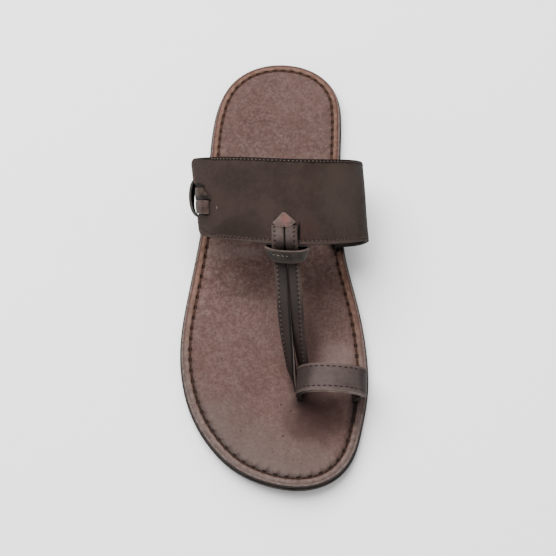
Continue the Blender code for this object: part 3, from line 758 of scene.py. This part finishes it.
# the footbed
soleSections = [  # y, outer x, inner x
    (138, -26.8, 19), (126, -37.6, 28.9), (109, -43, 32.2), (85, -44.8, 32.8),
    (50, -45.6, 34.2), (17, -48.4, 38.8), (-14, -52.1, 47.4), (-44, -54.1, 53.4),
    (-69, -50.9, 54.9), (-90, -43.2, 52.4), (-107, -31.8, 48.6), (-120, -17.4, 40.6),
    (-127.2, -1, 29.5)]
heelTip, toeTip = (-4, 144.8), (14, -129.7)
footbed = dict(
    around=930, spineEnds=59, stitchAt=4.9, stitchHeight=7.45, stitchPitch=5.3,
    toePitch=1.35, marginWide=0.94, toeMargin=0.15,
    # from and to where the margin, the pitch and the puckers grow, in mm towards the toes
    marginGrows=(-60, 10), pitchGrows=(-70, 10), puckerGrows=(70, 118),
    pucker=(0.2, 0.5), puckerEnd=(9.2, 11.8),  # height and inner end, each at the heel and at the toes
    # insets at which hollows and puckers start and are full, and the bead's middle and width
    hollowFrom=(5.5, 13), puckerFrom=(4.9, 5.9), puckerFull=6.2, beadAt=(2.9, 1.1), beadSwell=0.06,
    faceFrom=7.6, under=[(14, 5), (3, 5)],
    profile=[  # inset from the edge and height: wall, rim, line, bead, groove, field
        (0.5, 5), (0.12, 5.3), (0, 5.9), (0, 6.6), (0.15, 7.25), (0.45, 7.7),
        (0.85, 7.86), (1.15, 7.78), (1.4, 7.6), (1.65, 7.72), (2.05, 8.02), (2.7, 8.3),
        (3.4, 8.32), (4, 8.1), (4.45, 7.7), (4.9, 7.45), (5.35, 7.62), (5.9, 8), (6.8, 8.3),
        (8.5, 8.5), (14, 8.6)],
    # hollows of the tread, and two swells: x, y, size across, size along, depth
    hollows=[(-5, 105, 20, 28, 0.9), (-24, 20, 14, 40, 0.35), (25, -40, 20, 22, 0.8),
             (-20, -45, 22, 24, 0.7), (30, -95, 11, 13, 0.7), (4, -101, 8, 9, 0.45),
             (-12, -96, 7, 8, 0.4), (-26, -82, 7, 8, 0.35), (-38, -62, 7, 9, 0.35),
             (6, -66, 30, 6, -0.25), (0, 60, 20, 26, -0.25)],
    # painted shade, painted shadow and painted light patches: x, y, half width, half length, strength,
    # raggedness, even middle
    shades=[(27, -86, 24, 19, 0.85), (22, -79, 12, 6, 0.7, 0.4), (22.5, -78.9, 8.5, 3.4, 0.95, 0.4),
            (30, -12, 20, 34, 0.46, 0.3), (20, -42, 9, 24, 0.6, 0.4), (17.7, -78.3, 2.5, 2, 0.5),
            (4, 22, 22, 16, 0.4, 0.4), (-10, -4, 18, 16, 0.4, 0.4)],
    gaps=[(6.4, -6, 3.6, 30, 0.8, 0.3, 0), (35, 23.5, 7.5, 4.6, 0.97, 0.3, 0.5)],
    rubs=[(-26, 16, 22, 6, 0.35, 0.5), (37, -47, 13, 13, 0.35, 0.5)],
    # small dark marks: x, y, size
    marks=[(5.9, -78.9, 0.9), (11.8, -82.3, 0.8), (8, -98.3, 0.9), (-24, -20, 0.6),
           (-12, -38, 0.6), (-30, -52, 0.6)],
)
footbedTones = dict(
    field=((0.07, 0.033, 0.026), (0.094, 0.049, 0.04)), mottle=(0.116, 0.068, 0.0585),
    nap=((0.034, 0.0155, 0.0122), (0.052, 0.026, 0.021)),
    forefoot=(0.046, 0.021, 0.0172), heel=(0.034, 0.016, 0.0125), toes=(0.066, 0.046, 0.04),
    speck=(0.032, 0.017, 0.012), dirt=(0.022, 0.0085, 0.007), rubbed=(0.135, 0.086, 0.078),
    mark=(0.012, 0.006, 0.005), bead=((0.064, 0.033, 0.023), (0.112, 0.064, 0.048)),
    groove=(0.022, 0.01, 0.006), hole=(0.0115, 0.004, 0.0022), crease=(0.022, 0.011, 0.008),
    toeGrooveShade=(0.012, 0.0075, 0.006), toeBead=((0.044, 0.033, 0.031), (0.096, 0.079, 0.076)),
    redLine=(0.055, 0.025, 0.017), line=(0.055, 0.016, 0.011),
    rim=((0.05, 0.036, 0.031), (0.1, 0.076, 0.067)), wall=(0.012, 0.009, 0.008),
    slot=(0.007, 0.004, 0.0035), gap=(0.0025, 0.0012, 0.001),
    fieldCast=(1, 1.13, 1.17), wholeCast=(1.1, 1.065, 1.055),
)


def outlineRing(inset, count):
    inner = [(x, y) for y, _, x in soleSections]
    outer = [(x, y) for y, x, _ in soleSections[::-1]]
    points = smoothLine([heelTip] + inner + [toeTip] + outer,
                        np.linspace(0, 1, count, endpoint=False), closed=True, measured=2)
    run = np.roll(points, -1, axis=0) - np.roll(points, 1, axis=0)
    return points + unit(np.stack([run[:, 1], -run[:, 0]], axis=1)) * inset


def closedUp(rows, axis=0):  # the first place once more at the end
    return np.concatenate([rows, rows.take([0], axis)], axis)


def closedIn(ring, ends, shares):  # rows from a ring inwards to the line along its middle
    count, here = len(ring), np.arange(len(ring))
    mirrored = np.minimum(here, count - here) / (count / 2)  # 0 at the heel, 1 at the toes
    inward = ends + mirrored * (count / 2 - 2 * ends)
    spine = (readAt(inward, here, ring) + readAt(count - inward, here, ring)) / 2
    return [ring * (1 - share) + spine * share for share in shares]


count = footbed["around"]
toesAt = -outlineRing(0, count)[:, 1]
marginWide = footbed["marginWide"] + footbed["toeMargin"] * steps(toesAt, *footbed["marginGrows"])
stitchRing = outlineRing(footbed["stitchAt"] * marginWide[:, None], count)
walked = distances(closedUp(stitchRing))
pitch = footbed["stitchPitch"] + footbed["toePitch"] * steps(toesAt, *footbed["pitchGrows"])
counted = np.concatenate([[0], np.cumsum(np.diff(walked) / pitch)])
stitches = int(round(counted[-1]))
counted *= stitches / counted[-1]
phase = counted[:-1]  # whole numbers fall between two stitches
toeward = steps(toesAt, *footbed["puckerGrows"])

wall = smoothLine(footbed["profile"], np.linspace(0, 1, 78))
section = np.vstack([footbed["under"], wall])
rings = [np.column_stack([outlineRing(inset * marginWide[:, None], count), np.full(count, height)])
         for inset, height in section]
shares = np.linspace(0, 1, 27)[1:]
field = np.array(rings + closedIn(rings[-1], footbed["spineEnds"], shares))
insets = np.concatenate([section[:, 0], section[-1, 0] + shares * 30])
insetOf = np.repeat(insets[:, None], count, axis=1)
top = np.zeros(field.shape[:2], bool)
top[len(footbed["under"]) + int(np.argmax(wall[:, 1] > footbed["faceFrom"])):] = True
x, y = field[:, :, 0], field[:, :, 1]
inner = steps(insetOf, *footbed["hollowFrom"]) * top
for hollowX, hollowY, sizeX, sizeY, depth in footbed["hollows"]:
    field[:, :, 2] -= depth * bump(x, hollowX, sizeX) * bump(y, hollowY, sizeY) * inner
between = np.cos(2 * np.pi * phase)  # 1 between two stitches, where the leather puffs up
uneven = 0.75 + 0.25 * np.sin(phase * 1.7) + 0.2 * np.sin(phase * 0.61 + 1)
size, puckerEnd = [np.interp(toeward, (0, 1), footbed[key]) for key in ("pucker", "puckerEnd")]
pull = steps(insetOf, *footbed["puckerFrom"]) * (1 - steps(insetOf, footbed["puckerFull"], puckerEnd))
bead = bump(insetOf, *footbed["beadAt"]) * footbed["beadSwell"]  # it swells a little between stitches too
field[:, :, 2] += (pull * size * uneven + bead) * between * top
field, insetOf = closedUp(field, 1), closedUp(insetOf, 1)
placeOf = np.tile(np.append(phase, stitches), (len(field), 1))


def footbedLeather(slots):
    n, tone = Nodes("footbedLeather"), footbedTones
    inset, place = n.kept("insetMm"), n.kept("stitchPlace")
    big = n.cloudy(0.35, 0.65, (22, 4, 0.6))
    n.colour = n.mix(big, *tone["field"])
    n.lay(tone["mottle"], n.cloudy(0.36, 0.66, (210, 6, 0.72)), 0.95)
    n.lay(n.mix(big, *tone["nap"]), n.cloudy(0.38, 0.64, (520, 6, 0.8)), 0.92)
    wobble = n.uneven(40, 0.03)
    here = n.plus(n.y, wobble)
    n.lay(tone["forefoot"], n.fade(here, -0.06, 0.02), 0.5)
    n.lay(tone["heel"], n.span(here, 0.03, 0.085), 0.42)
    leaning = n.times(n.plus(n.x, 0.02), 0.45)
    toes = n.fade(n.plus(n.plus(n.y, leaning), wobble), -0.12, -0.065)
    n.lay(tone["toes"], toes, 0.7)
    specks = n.times(n.fade(n.cells(300), 0.09, 0.19), n.cloudy(0.4, 0.54, (60, 2)))
    n.lay(tone["speck"], specks, 0.75)
    # painted shade under and in front of the toe ring, beside the toe strips, under and in front of the band,
    # with one small dark spot by the ring's foot
    for patch in footbed["shades"]:
        n.lay(tone["dirt"], n.spot(*patch))
    # painted light by the band's front edge on the lateral side and on the medial forefoot
    for patch in footbed["rubs"]:
        n.lay(tone["rubbed"], n.spot(*patch))
    for markX, markY, size in footbed["marks"]:
        flat = n.add("CombineXYZ", {"X": n.x, "Y": n.y}).outputs[0]
        away = n.vector("DISTANCE", flat, (markX * mm, markY * mm, 0))
        n.lay(tone["mark"], n.fade(away, size * 0.4 * mm, size * mm, 0.85))
    n.lay(tone["fieldCast"], 1, kind="MULTIPLY")
    # the margin, by its inset: bead, groove with its needle holes, creases, line, rim and wall
    n.lay(n.marble(tone["bead"], 0.3, 0.7, (300, 4)), n.span(inset, 1.5, 2), n.fade(inset, 4, 4.7))
    groove = n.fade(n.beside(inset, 4.9), 0.35, 0.95)
    n.lay(tone["groove"], groove, n.span(n.y, 0.07, 0.13, 0.62, 0.85))
    hole = n.times(n.span(n.beside(n.calc("FRACT", place), 0.5), 0.27, 0.37),
                   n.fade(n.beside(inset, 4.95), 0.5, 1.1))
    n.lay(tone["hole"], hole, n.span(n.y, 0.05, 0.12, 0.92, 0.5))
    # painted shade in the troughs of the puckers, slanting inwards
    slanted = n.calc("FRACT", n.plus(place, n.times(n.less(inset, 5), 0.07)))
    crease = n.times(n.span(n.beside(slanted, 0.5), 0.36, 0.48),
                     n.times(n.span(inset, 5, 5.6), n.fade(inset, 6.4, 8.6)))
    n.lay(tone["crease"], crease, n.span(n.y, -0.1, -0.04, 0.45, 0.22))
    # painted shade along the inner side of the groove at the toes
    soft = n.times(n.span(inset, 4.2, 4.8), n.fade(inset, 5.2, 8.5))
    n.lay(tone["toeGrooveShade"], soft, n.fade(n.y, -0.09, -0.03, 0.55))
    calm = n.span(n.y, -0.075, 0, 0.25, 1)
    streaks = n.marble(tone["toeBead"], 0.3, 0.7, (420, 5, 0.7))
    n.lay(streaks, n.times(n.less(1, calm), n.fade(inset, 3.6, 4.3)), 0.85)
    n.lay(tone["redLine"], n.fade(n.beside(inset, 4.1), 0.1, 0.5), n.fade(n.y, -0.12, -0.11, 0.45))
    n.lay(tone["line"], n.times(n.fade(n.beside(inset, 1.4), 0.15, 0.4), calm), 0.6)
    n.lay(n.marble(tone["rim"], 0.3, 0.7, (500,)), n.fade(inset, 1, 1.25))
    n.lay(tone["wall"], n.fade(inset, 0.2, 0.4))
    dark = None
    for ax, ay, bx, by, reach in slots:  # a dark slot and a soft shade round each strap's foot
        along = Vector((bx - ax, by - ay, 0))
        half = along.length * mm / 2
        along.normalize()
        offset = n.vector("SUBTRACT", n.where, (ax * mm, ay * mm, 0), "Vector")
        run = n.vector("DOT_PRODUCT", offset, tuple(along))
        past = n.calc("MAXIMUM", n.less(n.beside(run, half), half), 0)
        away = n.far(past, n.vector("DOT_PRODUCT", offset, (-along.y, along.x, 0)))
        shadeHere = n.calc("MAXIMUM", n.fade(away, (reach + 0.1) * mm, (reach + 0.7) * mm),
                           n.fade(away, reach * mm, (reach + 5) * mm, 0.45))
        dark = n.calc("MAXIMUM", dark, shadeHere) if dark else shadeHere
    n.lay(tone["slot"], dark)
    for patch in footbed["gaps"]:  # painted shadow under the two strips and by the slot of the band
        n.lay(tone["gap"], n.spot(*patch))
    grain = n.plus(n.times(n.cells(1300), 0.5), n.noise(1900, 4, 0.7))
    n.raised(n.noise(75, 6, 0.6), 0.0008, 0.45)
    n.raised(n.noise(330, 4, 0.6), 0.0003, 0.35)
    n.raised(grain, 0.00012, 0.55)
    n.raised(n.times(hole, -1), 0.0006, 0.7)
    n.lay(tone["wholeCast"], 1, kind="MULTIPLY")
    return n.finish(n.cloudy(0.3, 0.7, (60, 4), 0.58, 0.74, "LINEAR"), 0.13)


slots = [(*row[:2], *row[3:5], reach) for row, reach in (  # both ends in plan, half width
    (bandSections[0], 1.5), (ringSections[0], 1.6), (ringSections[-1], 1.6))]
for sheet in stripSheets.values():
    foot = sheet["grid"][-1]
    slots.append((*foot[0, :2], *foot[-1, :2], 1.3))
slots.append((48.4, -76.5, 47.6, -87, 0.7))  # the ring's inner end under the margin
piece = laidGrid("footbed", field[::-1], [footbedLeather(slots)],
                 {"insetMm": insetOf[::-1], "stitchPlace": placeOf[::-1]})
weld(piece, 0.00002)
smooth(piece, 60)
belongs(piece, "insole")

row = closedUp(np.column_stack([stitchRing, np.full(count, footbed["stitchHeight"])]))
row = (row, np.repeat([upward], count + 1, axis=0), walked, 0, walked[-1], counted)
soleThread = dict(pitch=1, length=3.2, width=1.15, height=0.85, lift=0.1, wander=0.08)
brownThread = threadMaterial("brownThread", (0.022, 0.0098, 0.0056), (0.05, 0.024, 0.0145), 0.55)
sewn("footbed_stitches", [row], soleThread, brownThread, "insole")
print("footbed is laid and stitched")

# the outsole
outsole = dict(
    around=500, spineEnds=32, dark=(0.01, 0.0066, 0.0056), light=(0.024, 0.0165, 0.0143),
    scuffed=(0.03, 0.024, 0.021), ribs=2200,
    profile=[(14, 0), (2, 0), (0.9, 0.05), (0.2, 0.4), (-0.3, 1.1), (-0.6, 2.2),
             (-0.7, 3.4), (-0.6, 4.2), (-0.1, 4.62), (0.8, 4.75), (3, 4.75)],
)


def outsoleLeather():
    n = Nodes("outsoleLeather")
    n.colour = n.marble((outsole["dark"], outsole["light"]), 0.35, 0.65, (90, 4))
    n.lay(outsole["scuffed"], n.cloudy(0.55, 0.75, (420, 4, 0.7)), 0.5)
    ribs = n.calc("SINE", n.times(n.plus(n.y, n.times(n.x, 0.25)), outsole["ribs"]))
    n.raised(n.times(ribs, n.fade(n.z, 0.0002, 0.0011)), 0.0005, 0.6)  # on the underside only
    n.raised(n.noise(1200, 4, 0.65), 0.00015, 0.6)
    return n.finish(n.cloudy(0.3, 0.7, (200,), 0.55, 0.72, "LINEAR"), 0.16)


count = outsole["around"]
rings = [np.column_stack([outlineRing(inset, count), np.full(count, height)])
         for inset, height in smoothLine(outsole["profile"], np.linspace(0, 1, 46))]
under = closedIn(rings[0], outsole["spineEnds"], np.linspace(0, 1, 12)[1:])
over = closedIn(rings[-1], outsole["spineEnds"], np.linspace(0, 1, 8)[1:])
field = closedUp(np.array(under[::-1] + rings + over), 1)
piece = laidGrid("outsole_layer", field[::-1], [outsoleLeather()])
weld(piece, 0.00002)
smooth(piece, 50)
belongs(piece, "outsole")
print("outsole is made")

# floor, light and camera
studio = dict(
    floorSize=6, floor=(0.86, 0.86, 0.86, 1), world=0.62,
    distance=1.3, elevation=66, azimuth=3, lookAt=Vector((0, 0, 0.01)),
    lens=143.1, sensor=36,
    # name, place, size, watts
    lights=[("keyLight", (-0.45, 0.45, 1.45), 1.5, 72), ("heelLight", (0.1, 1.5, 0.9), 0.9, 10),
            ("frontLight", (-0.9, -1.2, 0.9), 1.2, 6), ("innerLight", (1.3, 0.1, 0.8), 0.9, 4)],
)


def aimed(place):  # turned to look at the sandal from there
    return (studio["lookAt"] - Vector(place)).to_track_quat("-Z", "Y").to_euler()


bpy.ops.mesh.primitive_plane_add(size=studio["floorSize"])
floor = bpy.context.object
floor.name = "studio_floor"
floor.data.materials.append(Nodes("studioFloor", studio["floor"]).finish(0.6, 0.2))

world = bpy.data.worlds.new("studioWorld")
bpy.context.scene.world = world
world.use_nodes = True
background = world.node_tree.nodes["Background"].inputs
background["Color"].default_value = (1, 1, 1, 1)
background["Strength"].default_value = studio["world"]

for name, place, size, watts in studio["lights"]:
    bpy.ops.object.light_add(type="AREA", location=place)
    light = bpy.context.object
    light.name = name
    light.data.size = size
    light.data.energy = watts
    light.rotation_euler = aimed(place)

up, turn = np.radians(studio["elevation"]), np.radians(studio["azimuth"])
place = studio["lookAt"] + studio["distance"] * Vector((
    np.cos(up) * np.sin(turn), -np.cos(up) * np.cos(turn), np.sin(up)))
bpy.ops.object.camera_add(location=place)
camera = bpy.context.object
camera.name = "photoCamera"
camera.data.lens = studio["lens"]
camera.data.sensor_width = studio["sensor"]
camera.rotation_euler = aimed(place)
bpy.context.scene.camera = camera
print("studio is set")
